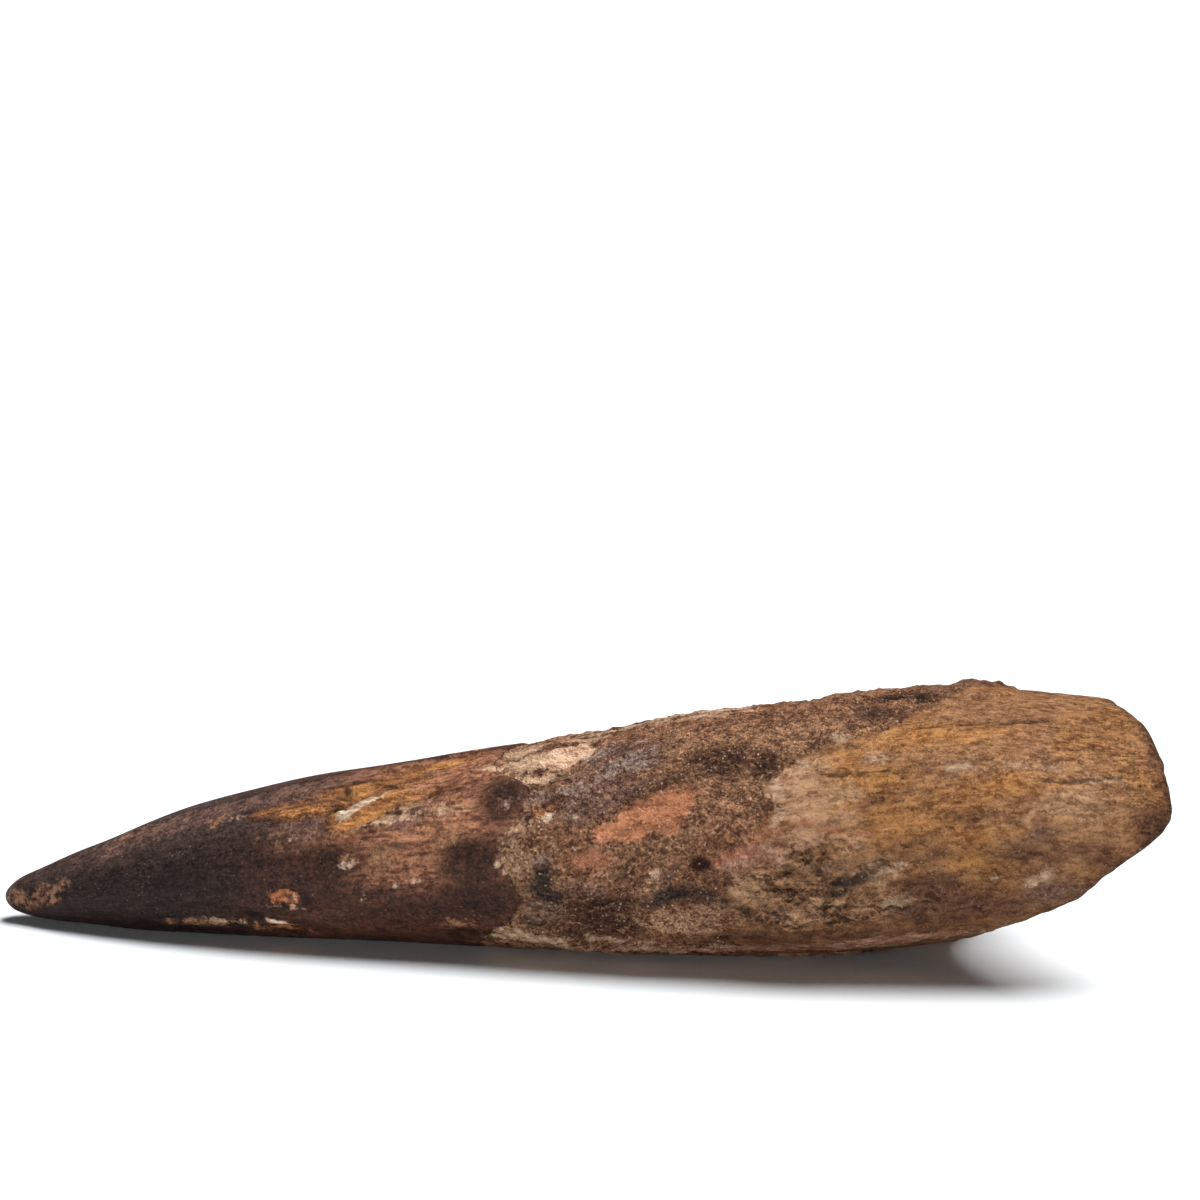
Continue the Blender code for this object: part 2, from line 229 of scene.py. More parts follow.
# The places with each stain and each patch of painted light or shade: millimetres from the tip, angle, half
# length, half width and tilt
STAINS = {
    "russet": (
        (44.0, 68, 10.0, 3.4, 8),
        (50.5, 60, 4.0, 1.4, 0),
        (50.5, 34, 5.0, 2.6, 0),
        (45.0, 24, 6.0, 2.0, 0),
        (38.0, 27, 4.0, 0.9, 0),
        (46.0, 6, 6.0, 1.6, 0),
        (38.0, 200, 12.0, 4.0, 0),
        (45.0, 152, 7.0, 2.6, 0),
        (30.0, 262, 9.0, 3.0, 0),
    ),
    "umber_and_shadow_lines": (
        (54.2, 42, 2.9, 2.2, 60),
        (51.6, 3, 2.0, 1.4, 0),
        (45.5, -24, 7.0, 1.2, 0),
        (52.0, -18, 4.0, 2.4, 0),
        (35.0, 10, 4.5, 2.0, 0),
        (34.0, -14, 4.0, 1.2, 0),
        (31.8, -13, 2.2, 1.7, 0),
        (64.0, -20, 4.4, 1.6, 0),
        (65.2, -30, 3.6, 2.2, 0),
        (63.5, -24, 3.0, 1.6, 0),
        (51.0, 8, 3.0, 2.6, 0),
        (62.0, -37, 3.0, 0.5, -10),
        (69.0, 40, 4.4, 0.5, 16),
        # A painted shadow line along the upper edge of the pink hollow
        (60.6, 78, 2.8, 0.3, 14),
        (59.4, 39.5, 1.6, 0.25, 0),
        (76.0, 50, 3.4, 1.8, 0),
        (80.5, 45, 1.6, 1.6, 0),
        (91.0, 68, 1.6, 1.1, 0),
        (94.0, 84, 3.0, 1.0, 0),
        (45.0, 250, 8.0, 4.0, 0),
        (57.5, 168, 3.4, 2.2, 0),
        (78.0, 186, 5.0, 2.0, 10),
        (66.0, 236, 6.0, 2.6, 0),
        (70.0, 140, 9.0, 3.0, 12),
    ),
    "mauve": (
        (34.0, 34, 3.6, 1.6, 5),
        (58.6, -21, 2.0, 2.0, 0),
        (62.0, -10, 2.0, 0.7, 0),
        (64.0, 38, 4.6, 2.2, 20),
        (63.0, 54, 3.0, 1.2, 16),
        (66.4, 60, 4.2, 2.2, 10),
        (31.5, 68, 2.6, 1.3, 5),
        (36.0, 74, 4.0, 0.9, 8),
        (20.0, 66, 9.0, 1.6, 0),
        (44.4, 36, 2.4, 0.9, 12),
        (30.0, 160, 6.0, 1.8, 0),
        (107.5, 6, 1.8, 1.0, 0),
        (108.8, -23, 2.6, 1.2, 6),
    ),
    "tan": (
        (42.0, 11, 1.6, 1.3, 80),
        (38.2, 12, 0.7, 0.3, 0),
        (49.0, 21, 1.7, 0.6, 0),
        (46.0, 72, 2.6, 0.4, 8),
        (43.6, 44, 1.8, 0.35, 10),
        (24.0, 56, 0.6, 0.5, 90),
        (47.0, 174, 2.2, 1.0, 40),
        (49.0, 240, 2.6, 1.2, 0),
        (29.2, -45, 1.1, 0.6, 0),
        (23.8, -38, 2.0, 0.4, -6),
        (49.2, -34, 1.0, 0.4, 0),
    ),
    "sand": (
        (56.4, 22, 1.9, 1.1, 60),
        (56.2, 8, 1.7, 1.9, 70),
        (58.0, 35, 1.6, 0.9, 0),
        (72.5, -29, 4.2, 1.7, -4),
        (75.0, -22, 2.6, 0.8, 0),
        (70.0, -8, 1.4, 0.9, 0),
        (70.0, 150, 7.0, 4.0, 0),
        (62.0, 118, 4.0, 3.0, 0),
        (60.5, 203, 5.0, 2.6, 20),
        (66.0, 213, 4.6, 1.8, -10),
        (62.0, 270, 6.0, 3.0, 0),
    ),
    "rubble": (
        (83.5, -2, 5.5, 3.2, 0),
        (84.0, -20, 6.5, 3.6, 0),
        (93.0, -24, 6.5, 2.4, 0),
        (90.0, -4, 4.0, 1.5, 0),
        (88.0, 214, 7.0, 3.6, 0),
        (84.0, 278, 8.0, 4.0, 0),
    ),
    # Pale lumps of crust, whose light colour partly stands in for painted highlights on them
    "lump": (
        (79.4, -12, 2.0, 1.5, 20),
        (84.4, 11, 2.6, 1.2, 12),
        (82.3, 6, 1.4, 1.0, 40),
        (88.0, 9, 2.2, 0.6, -6),
        (86.4, -21, 2.0, 0.9, 10),
        (83.0, -27, 2.4, 0.8, -6),
        (91.4, -12, 1.6, 0.6, 20),
        (94.6, -27, 2.0, 0.7, 0),
        (90.0, 216, 3.0, 1.6, 10),
        (84.0, 206, 2.0, 1.2, 0),
    ),
    "plum": (
        (97.0, -16, 3.0, 1.6, 0),
        (99.0, -30, 6.0, 2.0, 0),
        (81.0, -41, 7.0, 0.7, 0),
        (96.0, 37, 1.8, 0.4, 0),
        (92.8, 27, 2.0, 0.4, 26),
        (86.5, -2, 1.6, 0.5, 10),
        (98.0, -2, 3.0, 0.8, 0),
        (100.5, 14, 1.6, 0.7, 0),
        (105.0, -4, 5.0, 0.9, 0),
        (94.6, 6, 1.8, 0.5, 0),
        (101.5, 95, 5.0, 1.0, 0),
        (113.4, -5, 2.6, 1.2, -10),
        (118.0, 10, 1.6, 2.0, 0),
        (96.0, 214, 8.0, 3.0, 0),
        (107.0, 176, 3.0, 1.6, 0),
    ),
    # The long thin pale bands low on the near side are painted bounce light from the floor; the one higher
    # up is pale clay
    "clay_and_bounce_light": (
        (76.0, -56, 14.0, 1.1, 0),
        (92.0, -54, 9.0, 1.4, 0),
        (80.0, 5, 4.0, 1.2, 10),
        (62.0, -58, 8.0, 0.8, 0),
    ),
    "amber": (
        (92.6, 15, 2.2, 1.1, 0),
        (91.0, 34, 3.4, 0.9, 0),
        (88.4, 45, 1.9, 1.0, 0),
        (97.0, 54, 6.0, 1.2, 0),
        (100.6, -6, 2.0, 0.9, 0),
        (104.0, 27, 4.0, 1.0, 4),
        (102.0, 7, 2.2, 0.5, 10),
        (93.0, 9, 2.4, 0.4, 8),
        (100.0, 140, 8.0, 3.0, 0),
        (102.0, 190, 5.0, 2.0, 0),
        (96.0, 262, 7.0, 2.4, 0),
    ),
    "cap": (
        (84.4, 42, 2.7, 1.2, 8),
        (84.0, 33, 2.4, 1.6, 0),
        (84.6, 24, 2.9, 1.7, 0),
        (87.6, 17, 3.2, 0.8, -6),
        (87.0, 30, 2.6, 1.2, 0),
        (110.4, 17, 3.0, 0.8, -4),
        (111.4, 24, 2.2, 0.7, 4),
        (106.0, 13, 1.8, 0.3, 10),
        (88.0, 176, 5.0, 2.4, 0),
    ),
    "bone": (
        (55.4, 78, 1.9, 1.2, 20),
        (56.2, 66, 2.3, 1.2, 10),
        (58.0, 55, 1.8, 0.6, 0),
        (61.5, 83, 2.6, 0.5, 0),
        (66.0, 92, 5.0, 0.7, 0),
        (73.0, 88, 3.0, 0.5, 0),
        (57.6, -45, 3.4, 1.3, -10),
        (60.4, -52, 3.6, 0.7, -4),
        (65.4, -44.5, 2.0, 0.35, -8),
        (68.6, -55, 2.4, 0.5, 0),
        (53.4, -48, 1.0, 0.4, 0),
        (48.6, 38, 1.5, 0.75, 0),
        (44.6, 44.5, 1.1, 0.28, 0),
        (41.2, 35, 2.6, 0.24, 8),
        (43.7, 58, 1.0, 0.22, 14),
        (52.3, 66, 1.2, 0.22, -8),
        (48.5, 99, 2.8, 0.6, 0),
        (70.5, 97, 2.2, 0.9, 0),
        (76.0, 96, 3.2, 0.7, 0),
        (82.0, 22, 1.5, 0.5, 75),
        (81.8, 33, 1.3, 0.45, 100),
        (83.6, 43, 1.4, 0.35, 20),
        (91.2, 44, 1.3, 0.6, 10),
        (99.2, 37, 1.3, 0.35, 0),
        (113.0, 32, 1.3, 0.3, 0),
        (106.0, 36, 2.4, 0.3, 0),
        (92.4, -7, 1.9, 0.5, 14),
        (88.4, -2.5, 2.2, 0.3, -6),
        (107.5, -15, 1.1, 0.5, 30),
        (93.6, -22, 1.2, 0.5, 20),
        (87.7, 54, 0.9, 0.6, 0),
        (89.6, 5, 0.7, 0.25, 20),
        (24.8, -37, 0.8, 0.22, -8),
        (60.0, 206, 2.8, 1.0, 14),
        (97.0, 160, 3.0, 0.5, 4),
        (102.0, 184, 2.4, 0.4, -4),
        (99.0, 204, 2.0, 0.4, 6),
    ),
    "flake": (
        (32.6, 52, 4.6, 1.1, -2),
        (36.8, 60, 3.0, 1.0, 20),
        (38.6, 45, 3.0, 1.9, 30),
        (41.5, 63, 4.4, 1.8, 18),
        (45.5, 52, 3.0, 0.6, 12),
        (47.3, 82, 3.2, 0.9, 12),
        (37.0, 188, 8.0, 2.4, 6),
        (23.4, 127, 3.6, 1.0, 14),
        (26.4, 131, 2.8, 0.9, -4),
    ),
    "gold": (
        (34.4, 50, 2.4, 0.5, -4),
        (47.0, 80, 2.3, 0.7, 10),
        (40.6, 43, 3.6, 0.8, 30),
        (42.6, 55, 2.0, 0.6, 22),
        (39.4, 63, 1.6, 0.5, 20),
        (35.0, 190, 4.0, 0.9, 6),
        (24.4, 128, 1.8, 0.5, 10),
    ),
    "cream": (
        (38.3, 45.2, 1.4, 0.6, 33),
        (39.7, 50.4, 2.2, 0.38, 28),
        (36.5, 46, 0.6, 0.22, -10),
        (31.2, -37, 1.5, 0.35, -20),
        (58.8, 31, 0.6, 0.5, 80),
    ),
    "chip": (
        (31.9, -13.5, 1.4, 1.1, -10),
        (31.8, -44, 2.1, 0.8, -14),
        (58.6, 36, 1.2, 0.6, 0),
        (19.8, 212, 1.6, 0.8, -12),
        (21.4, 208, 1.2, 0.5, 30),
    ),
    "pale": (
        (32.6, -14, 0.5, 0.35, 40),
        (31.4, -20.5, 0.9, 0.15, 0),
        (32.7, 28.5, 0.5, 0.4, 60),
        (38.3, 9.5, 0.6, 0.2, 0),
        (61.7, 30, 0.3, 0.3, 0),
        (61.7, 13, 0.3, 0.3, 0),
        (66.3, 23, 0.25, 0.25, 0),
        (67.6, -2.5, 0.25, 0.2, 0),
        (70.0, -2, 0.4, 0.3, 0),
        (103.2, -14, 0.4, 0.4, 0),
        (54.2, 5, 0.2, 0.15, 0),
        (45.6, -3, 0.35, 0.2, 0),
        (43.4, -6.5, 0.3, 0.25, 0),
        (40.3, -14, 0.35, 0.3, 0),
        (26.3, 55, 0.4, 0.2, 0),
    ),
    "worn": (
        (4.8, 9, 2.8, 1.2, 14),
        (2.6, 0, 1.8, 0.9, 0),
        (14.0, 80, 1.7, 0.5, 0),
        (21.2, -39, 1.6, 0.4, 0),
    ),
    "pink": (
        (60.3, 68, 2.7, 1.5, 20),
        (66.8, 174, 2.8, 1.0, -18),
        (69.8, 170, 2.2, 1.1, 12),
    ),
    "lilac": (
        (67.6, 56, 2.0, 1.4, 10),
        (65.0, 52, 1.6, 0.9, 30),
        (64.6, 66, 1.6, 0.7, 20),
        (60.0, 43, 2.5, 0.5, 6),
        (58.6, 7, 0.8, 0.5, 30),
        (76.0, 226, 4.0, 1.8, 0),
        (72.6, 164, 3.4, 1.4, 0),
    ),
    "orange": (
        (71.0, 28, 2.4, 2.3, 0),
        (68.6, 25, 3.0, 1.9, 8),
        (65.6, 20, 2.0, 1.2, 20),
        (72.4, 35, 1.2, 0.9, 0),
        (73.0, 214, 3.0, 1.5, 12),
    ),
    "red": (
        (63.6, 6, 1.8, 0.85, 10),
        (77.5, 6, 3.2, 0.6, 20),
        (75.0, 158, 3.4, 0.9, 20),
        (81.0, 14, 1.4, 0.5, 20),
        (83.0, 17, 2.0, 0.2, 12),
        (86.0, 15.5, 2.2, 0.2, -14),
    ),
    "slate": (
        (71.6, -13, 2.0, 1.0, 14),
        (70.9, -9, 0.9, 0.3, 60),
        (73.8, -12.5, 2.4, 0.55, -4),
        (43.3, 19.5, 0.9, 0.2, 0),
        (70.3, -18, 1.0, 0.4, 20),
        (75.8, -16.5, 2.6, 0.24, -10),
        (73.6, -16.5, 1.6, 0.2, 8),
        (79.5, -21.5, 2.4, 0.2, -6),
        (58.7, -1, 1.0, 1.1, 12),
        (58.4, -8, 1.3, 1.3, 0),
        (59.6, -14, 1.2, 0.8, -20),
        (58.8, -31, 1.6, 0.25, -10),
        (89.2, -10, 2.0, 0.8, 4),
        (65.0, 191, 3.0, 0.6, -8),
        (87.6, -16, 1.2, 0.5, 0),
    ),
    "wine": (
        (74.5, 1.5, 1.1, 0.8, 10),
    ),
    # Painted shade: the hole in the flake, the thin gaps by it and the pits are coloured dark for the shade
    # that falls in them
    "hole": (
        (37.1, 49.5, 0.9, 0.38, -5),
        (37.8, 61, 1.4, 0.24, -65),
        (42.2, 63, 1.5, 0.24, -24),
        (40.9, 76.5, 2.2, 0.2, 20),
        (35.4, 57.5, 2.6, 0.16, 6),
        (39.0, 68.5, 2.4, 0.18, 4),
        (27.2, 59, 0.9, 0.25, 10),
        (28.2, -31, 0.9, 0.5, 0),
        (50.7, -45, 0.8, 0.35, 0),
        (76.5, -41, 0.9, 0.6, 0),
        (67.0, -2, 0.4, 0.35, 0),
        (91.0, 82, 0.8, 0.4, 0),
        (93.0, 82, 0.7, 0.4, 0),
        (95.4, 82, 0.8, 0.4, 0),
    ),
}

# How each stain and each patch of painted light or shade looks: its dark and light colours, what mottles
# it, how softly and how raggedly it ends in millimetres, and how much of it covers what is under it
STAIN_LOOKS = {
    "russet": ((93, 54, 38), (208, 146, 109), "streaks", 3.0, 1.5, 0.85),
    "umber_and_shadow_lines": ((27, 15, 11), (86, 53, 39), "grain", 2.2, 1.5, 0.91),
    "mauve": ((64, 46, 41), (158, 120, 104), "grain", 1.4, 1.2, 0.7),
    "tan": ((86, 56, 39), (190, 140, 103), "grain", 0.8, 1.0, 0.8),
    "sand": ((96, 66, 49), (218, 174, 138), "grain", 1.2, 1.5, 0.8),
    "rubble": ((46, 27, 19), (202, 148, 108), "chunks", 2.0, 1.5, 0.9),
    "lump": ((96, 62, 44), (232, 182, 140), "chunks", 0.7, 1.2, 0.85),
    "plum": ((52, 30, 24), (124, 84, 65), "streaks", 1.6, 1.4, 0.75),
    "clay_and_bounce_light": ((144, 97, 75), (234, 182, 152), "streaks", 1.2, 1.0, 0.9),
    "amber": ((142, 86, 44), (226, 162, 94), "wood", 2.2, 1.6, 0.7),
    "cap": ((130, 90, 62), (218, 172, 132), "wood", 1.2, 1.3, 0.85),
    "bone": ((148, 110, 84), (236, 200, 166), "wood", 0.8, 1.0, 0.8),
    "flake": ((78, 43, 25), (204, 138, 88), "silk", 1.0, 1.0, 0.85),
    "gold": ((146, 82, 38), (250, 182, 112), "silk", 1.0, 0.9, 0.85),
    "cream": ((170, 122, 84), (254, 236, 208), "wood", 0.3, 0.35, 0.95),
    "chip": ((56, 28, 18), (196, 124, 82), "crumbs", 0.7, 1.0, 0.9),
    "pale": ((120, 86, 68), (232, 202, 176), "crumbs", 0.4, 0.7, 0.7),
    "worn": ((28, 16, 11), (164, 118, 92), "crumbs", 1.0, 1.0, 0.85),
    "pink": ((160, 106, 80), (250, 212, 180), "wood", 0.3, 0.5, 0.9),
    "lilac": ((84, 63, 57), (200, 176, 164), "grain", 1.2, 1.5, 0.74),
    "orange": ((120, 70, 48), (232, 158, 116), "silk", 0.6, 1.1, 0.88),
    "red": ((134, 80, 59), (204, 138, 106), "crumbs", 0.8, 0.8, 0.8),
    "slate": ((10, 10, 12), (70, 63, 59), "grain", 0.9, 1.1, 0.88),
    "wine": ((20, 5, 10), (72, 28, 29), "grain", 0.6, 0.5, 0.97),
    "hole": ((16, 9, 7), (50, 31, 23), "grain", 0.4, 0.5, 0.8),
}

# How each zone looks: its dark and light colours, and what mottles it
ZONE_LOOKS = {
    "enamel": ((8, 4, 5), (60, 43, 39), "glaze"),
    "brown enamel": ((34, 18, 14), (108, 68, 51), "glaze"),
    "painted sheen on enamel": ((50, 37, 34), (114, 91, 84), "glaze"),
    "crust": ((76, 48, 34), (200, 149, 112), "grain"),
    "warm crust": ((80, 50, 36), (192, 136, 101), "grain"),
    "thin crust": ((88, 58, 42), (208, 164, 130), "grain"),
    "root": ((100, 60, 34), (210, 150, 94), "streaks"),
    "pinkish root": ((116, 77, 52), (200, 148, 104), "streaks"),
    "rim": ((32, 18, 13), (108, 69, 49), "grain"),
    "break": ((54, 33, 24), (156, 112, 82), "chunks"),
}

# Plain colours that are laid over the zones and stains, painted highlights and shade among them
SHADES = {
    "enamel streaks": (32, 19, 16),
    "painted shade in crust hollows": (50, 31, 23),
    "root streaks": (112, 73, 51),
    "painted shade under the root": (78, 49, 36),
    "painted highlights on lumps": (226, 178, 138),
    "painted shade under lumps": (44, 26, 19),
    "break ring": (172, 128, 94),
    "break middle": (52, 32, 24),
    "pale grains": (198, 166, 137),
    "dark grains": (34, 20, 16),
    "painted glints": (234, 208, 180),
    "cracks": (42, 25, 18),
}

# The noises that the colours are mixed from: size in millimetres, detail and roughness
NOISES = {
    "grit": (0.34, 3.0, 0.8),
    "crumbs": (0.85, 3.0, 0.65),
    "mottle": (1.9, 5.0, 0.72),
    "broad": (9.0, 3.0, 0.6),
    "chunks": (1.8, 5.0, 0.7),
    "fibres": (0.45, 3.0, 0.7),
    "streaks": (1.6, 4.0, 0.68),
}

# How the noises are drawn out lengthwise, moved about and read upwards, in millimetres
CHUNK_STRETCH = (0.65, 1.0, 1.0)
LONG_STRETCH = (0.26, 1.0, 1.0)
LONGER_STRETCH = (0.18, 1.0, 1.0)
CHUNK_REACH = 0.45
CRUMB_REACH = 0.2
ROD_WAVER = 2.4
SAND_WAVER = 0.5
SAND_SIZE = 0.27

# The gloss and the bumps
SPECULAR = 0.13
BARE_ROUGHNESS = 0.7
BUMP_HEIGHT = 0.42 * MM

# The scene: where the photo was taken from, the floor, and the lights with the azimuth, elevation
# and spread of each in degrees
CAMERA_AZIMUTH = 7.0
CAMERA_ELEVATION = 15.0
CAMERA_LENS = 100.0
CAMERA_DISTANCE = 0.341
LOOK_AT = (0.0, 0.0, 0.0135)
LOOK_ASIDE = 3.1 * MM
LOOK_ABOVE = 22.1 * MM
FLOOR_HALF = 40.0
FLOOR_COLOUR = (0.87, 0.9, 0.92, 1.0)
FLOOR_ROUGHNESS = 0.9
OVERHEAD_LIGHT = {"azimuth": 98, "elevation": 69, "strength": 4.9, "spread": 38}
FRONT_LIGHT = {"azimuth": -32, "elevation": 1.5, "strength": 1.6, "spread": 30}
SURROUNDINGS = 0.04


def ramp(value, width):
    """Rises smoothly from 0 to 1 as the value goes from minus half the width to plus half."""
    t = (value / width + 0.5).clip(0, 1)
    return t * t * (3 - 2 * t)


def smooth_curve(at, knots, values):
    """A curve through the knots whose slope at each knot is that between its neighbours."""
    slopes = np.gradient(values, knots)
    at = np.clip(at, knots[0], knots[-1])
    left = np.clip(np.searchsorted(knots, at, side="right") - 1, 0, len(knots) - 2)
    width = knots[left + 1] - knots[left]
    t = (at - knots[left]) / width
    rising = t * t * (3 - 2 * t)
    bend = slopes[left] * t * (1 - t) ** 2 - slopes[left + 1] * t**2 * (1 - t)
    return values[left] * (1 - rising) + values[left + 1] * rising + bend * width


def line_round(angle, table):
    """The distance from the tip, at an angle in degrees, of a line that closes round the tooth."""
    turn, reach = np.array(table, float).T
    turns = np.concatenate([turn[-2:] - 360, turn, turn[:2] + 360])
    reach = np.concatenate([reach[-2:], reach, reach[:2]])
    return smooth_curve(angle % 360, turns, reach) * MM


def section(along):
    """Half height, half depth, height of the middle and side offset of the middle, at a distance."""
    distance, low, high, aside = np.array(SECTIONS).T * MM
    # Square roots, because a rounded tip widens as the square root of the distance
    knots = np.sqrt(distance / LENGTH)
    at = np.sqrt(along / LENGTH)
    low, high, aside = (smooth_curve(at, knots, line) for line in (low, high, aside))
    half_height = (high - low) / 2
    return half_height, half_height * DEPTH_TO_HEIGHT, (high + low) / 2, aside


def outward(along, angle):
    """The direction out of the tooth's side, across its section."""
    half_height, half_depth, _, _ = section(along)
    turn = np.radians(angle)
    way = np.stack([0 * turn, -np.cos(turn) * half_height, np.sin(turn) * half_depth], axis=1)
    return way / np.linalg.norm(way, axis=1, keepdims=True).clip(1e-9)


def side_point(along, angle):
    """A point of the tooth's side, before any relief."""
    half_height, half_depth, middle, aside = section(along)
    turn = np.radians(angle)
    across = aside - half_depth * np.cos(turn)
    return np.stack([along - LENGTH / 2, across, middle + half_height * np.sin(turn)], axis=1)


def wander(points, size, octaves, seed):
    """Smooth random numbers of about -1 to 1 that change over the given size."""
    offset = Vector((seed * 17.3, seed * 5.1, seed * 11.7))
    return np.array([noise.fractal(Vector(p) / size + offset, 1.0, 2.0, octaves) for p in points])


def straightened(along, angle):
    """The tooth unrolled onto an even rod, where what runs along the tooth runs along X."""
    turn = np.radians(angle)
    return np.stack([along, ROD_RADIUS * np.cos(turn), ROD_RADIUS * np.sin(turn)], axis=1)


def in_patch(along, angle, place):
    """How far inside an oval patch a point is, in metres. It is below zero outside."""
    distance, turn, half_length, half_width, tilt = place
    half_height, half_depth, _, _ = section(along)
    across = np.radians((angle - turn + 180) % 360 - 180) * (half_height + half_depth) / 2
    forward = along - distance * MM
    lean = math.radians(tilt)
    length_share = (forward * math.cos(lean) + across * math.sin(lean)) / (half_length * MM)
    width_share = (across * math.cos(lean) - forward * math.sin(lean)) / (half_width * MM)
    return (1 - np.hypot(length_share, width_share)) * half_width * MM


def off_crack(along, angle, ends):
    """How far a point of the side is from a straight crack, in metres."""
    half_height, half_depth, _, _ = section(along)
    start, first_turn, end, last_turn = ends
    share = ((along / MM - start) / (end - start)).clip(0, 1)
    turn = first_turn + (last_turn - first_turn) * share
    across = np.radians((angle - turn + 180) % 360 - 180) * (half_height + half_depth) / 2
    forward = along - (start + (end - start) * share) * MM
    return np.hypot(across, forward)


class Skin:
    """The tooth's points, row by row from the tip over the rim to the middle of the break, with
    what its material needs to know of each: how far past or inside each line and stain it is."""

    def __init__(self, row, angle):
        self.angle = angle
        share = (row / SIDE_ROWS).clip(0, 1)
        eased = np.sqrt(share**2 + TIP_CROWDING**2) - TIP_CROWDING
        self.eased = eased / (math.sqrt(1 + TIP_CROWDING**2) - TIP_CROWDING)
        self.over_rim = ((row - SIDE_ROWS) / RIM_ROWS).clip(0, 1)
        self.inward = ((row - SIDE_ROWS - RIM_ROWS) / BREAK_ROWS).clip(0, 1)
        rim = line_round(angle, RIM)
        rim_points = side_point(rim, angle)
        rim = rim + RIM_CHIPPING * wander(rim_points, CHIP_SIZE, 2, 7)
        rim = rim + FINE_CHIPPING * wander(rim_points, FINE_CHIP_SIZE, 2, 8)
        round_rim = self.over_rim * math.pi / 2
        self.along = (rim - RIM_ROUNDING) * self.eased + RIM_ROUNDING * np.sin(round_rim)
        self.before_rim = rim - self.along
        self.base = side_point(self.along, angle)
        self.rod = straightened(self.along, angle)
        self.relief = self.side_relief()
        worn = ramp(self.base[:, 2] - WORN_HEIGHT / 2, WORN_HEIGHT)
        worn = ramp(self.along - TIP_FADE / 2, TIP_FADE) * worn
        raised = self.relief * worn - RIM_ROUNDING * (1 - np.cos(round_rim))
        points = self.base + outward(self.along, angle) * raised[:, None]
        self.points = self.across_break(points, side_point(rim, angle))

    def side_relief(self):
        """How far the worn, flaked and crusted side stands off its even form."""
        along, angle, points = self.along, self.angle, self.base
        ragged = RAGGEDNESS * wander(points, RAGGED_SIZE, 3, 1)
        self.ragged = ragged + FINE_RAGGEDNESS * wander(points, FINE_RAGGED_SIZE, 3, 9)
        self.past_enamel = along - line_round(angle, ENAMEL_EDGE) + self.ragged
        self.past_crust = along - line_round(angle, CRUST_EDGE) + ragged + self.ragged
        enamel = 1 - ramp(self.past_enamel, STEP_WIDTH)
        root = ramp(self.past_crust, STEP_WIDTH)
        crust = (1 - root) * ramp(self.past_enamel - TROUGH_WIDTH / 2, TROUGH_WIDTH)
        self.lumps = wander(points, LUMP_SIZE, 5, 2)
        height = ENAMEL_STEP * enamel + CRUST_STEP * crust + CRUST_LUMPS * crust * self.lumps
        grains = CRUST_GRAINS * wander(points, GRAIN_SIZE, 2, 10)
        height = height + grains * ramp(self.past_enamel, STEP_WIDTH) * (1 - root)
        rubble = ramp(self.inside_stain("rubble"), RUBBLE_FADE)
        height = height + RUBBLE_LUMPS * rubble * wander(points, RUBBLE_SIZE, 3, 14)
        height = height + ROOT_RIBS * root * wander(self.rod / (RIB_STRETCH, 1, 1), RIB_SIZE, 2, 3)
        fibres = ROOT_FIBRES * wander(self.rod / (FIBRE_STRETCH, 1, 1), FIBRE_SIZE, 3, 11)
        height = height + fibres * root
        flutes = CROWN_FLUTES * wander(self.rod / (FLUTE_STRETCH, 1, 1), FLUTE_SIZE, 3, 6)
        height = height + flutes * enamel
        height = height + UNEVENNESS * wander(points, UNEVEN_SIZE, 2, 4)
        for _, *place, rise in PATCHES:
            inside = in_patch(along, angle, place) + self.ragged / 2
            height = height + rise * MM * ramp(inside, PATCH_EDGE)
        self.cracked = np.full(len(along), 1.0)
        for ends in CRACKS:
            gap = off_crack(along, angle + CRACK_WAVER * wander(points, CRACK_WAVER_SIZE, 3, 12), ends)
            self.cracked = np.minimum(self.cracked, gap)
        height = height - CRACK_DEPTH * (1 - self.cracked / CRACK_HALF_WIDTH).clip(0)
        return height - ENAMEL_STEP

    def across_break(self, points, rim_points):
        """Draws rim points in over the break, onto a rough and slightly hollow slanting plane."""
        inward = self.inward
        middle = rim_points.mean(axis=0)
        spread = rim_points - middle
        slant = np.linalg.lstsq(spread[:, 1:], spread[:, 0], rcond=None)[0]
        off_plane = (points - middle)[:, 0] - (points - middle)[:, 1:] @ slant
        points = points + (middle - points) * inward[:, None]
        points[:, 0] = middle[0] + (points - middle)[:, 1:] @ slant + off_plane * (1 - inward) ** 3
        rough = BREAK_ROUGHNESS * wander(points, BREAK_GRAIN, 3, 5)
        rough = rough + BREAK_PITS * wander(points, BREAK_PIT_SIZE, 3, 13)
        points[:, 0] += inward * (2 - inward) * (rough - BREAK_HOLLOW)
        points[:, 2] = points[:, 2].clip(0)
        points[:, :2] -= (points.min(axis=0) + points.max(axis=0))[:2] / 2
        return points

    def inside_stain(self, stain):
        """How far inside the nearest place with this stain each point is, in metres."""
        return np.max([in_patch(self.along, self.angle, place) for place in STAINS[stain]], axis=0)


def keep_number(mesh, name, values):
    """Keeps a number for each point, for the material to read."""
    mesh.attributes.new(name, "FLOAT", "POINT").data.foreach_set("value", values)


def keep_skin(mesh, skin):
    """Keeps what the material reads, in millimetres."""
    rod = mesh.attributes.new("rod", "FLOAT_VECTOR", "POINT")
    rod.data.foreach_set("vector", (skin.rod / MM).ravel())
    keep_number(mesh, "past_enamel", skin.past_enamel / MM)
    keep_number(mesh, "past_crust", skin.past_crust / MM)
    keep_number(mesh, "before_rim", skin.before_rim / MM)
    keep_number(mesh, "along", skin.along / MM)
    keep_number(mesh, "cracked", skin.cracked / MM)
    keep_number(mesh, "lumps", skin.lumps)
    keep_number(mesh, "inward", skin.inward)
    keep_number(mesh, "upward", np.sin(np.radians(skin.angle)))
    for stain in STAIN_LOOKS:
        keep_number(mesh, stain, skin.inside_stain(stain) / MM)


